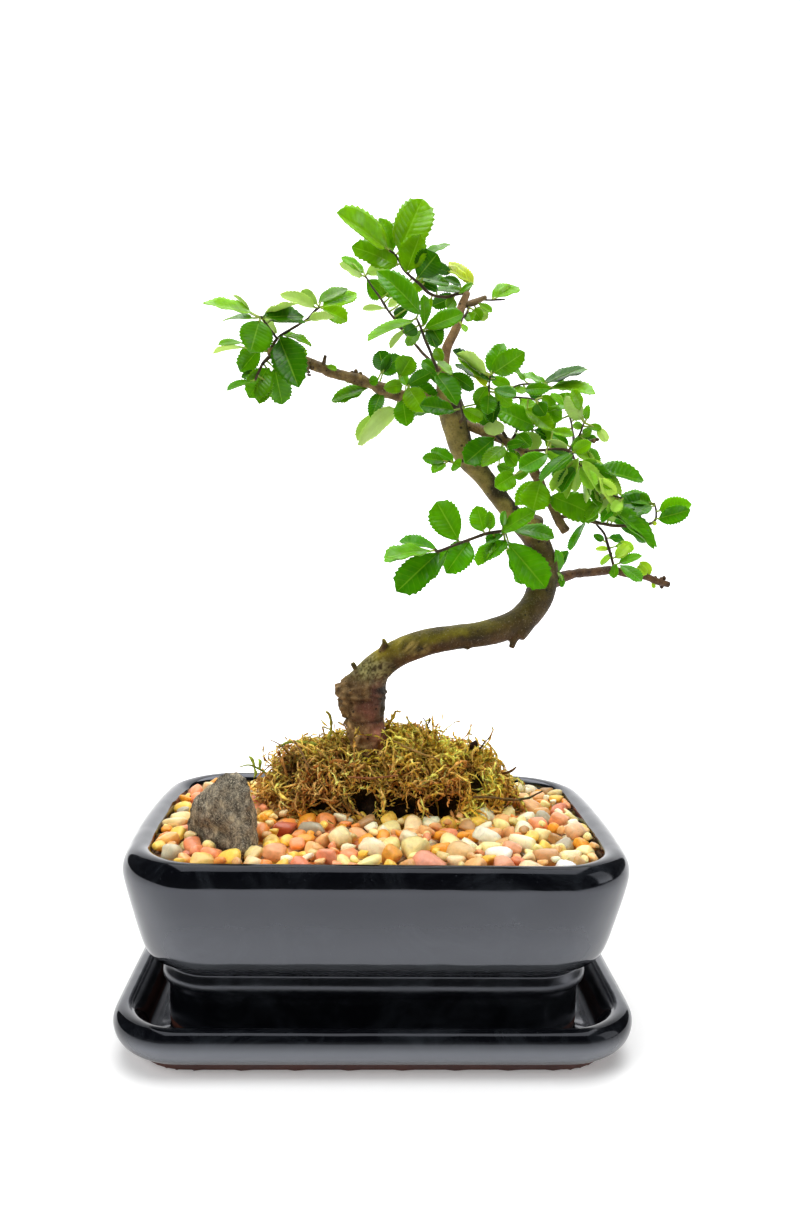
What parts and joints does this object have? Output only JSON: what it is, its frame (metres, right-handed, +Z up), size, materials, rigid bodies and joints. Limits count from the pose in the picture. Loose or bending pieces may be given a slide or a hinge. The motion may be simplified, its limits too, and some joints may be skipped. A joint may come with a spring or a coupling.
{
  "type": "bonsai tree in pot",
  "caption": "Small-leaved elm bonsai with an S-curved trunk, growing through moss and pea gravel with an upright stone, in a glazed rectangular pot on its saucer.",
  "frame": {"origin": "middle of the saucer's flat underside, on the surface that it stands on", "axes": "+Z up along the height, +Y from the front to the back across the short side of the pot, +X to the right along its long side"},
  "size_m": [0.2398, 0.144, 0.3459],
  "materials": {
    "saucer": "gloss",
    "pot": "gloss",
    "drain_screen": "matte",
    "soil": "matte",
    "gravel": "satin",
    "rock": "matte",
    "moss": "matte",
    "bark": "matte",
    "leaf": "satin"
  },
  "bodies": {
    "root": {"saucer": "saucer", "pot": "pot", "drain_screen_left": "drain_screen", "drain_screen_right": "drain_screen", "soil": "soil", "gravel": "gravel", "rock": "rock", "moss": "moss", "trunk": "bark", "branch_left": "leaf", "branch_right": "leaf", "branch_hanging": "leaf", "twig_inner_left": "leaf", "twig_upper_left": "leaf", "twig_top_left": "leaf", "twig_top_right": "leaf", "twig_trunk_top": "leaf", "twig_right_middle": "leaf", "twig_right_low": "leaf", "twig_lower_left": "leaf", "twig_middle": "leaf"}
  },
  "joints": []
}
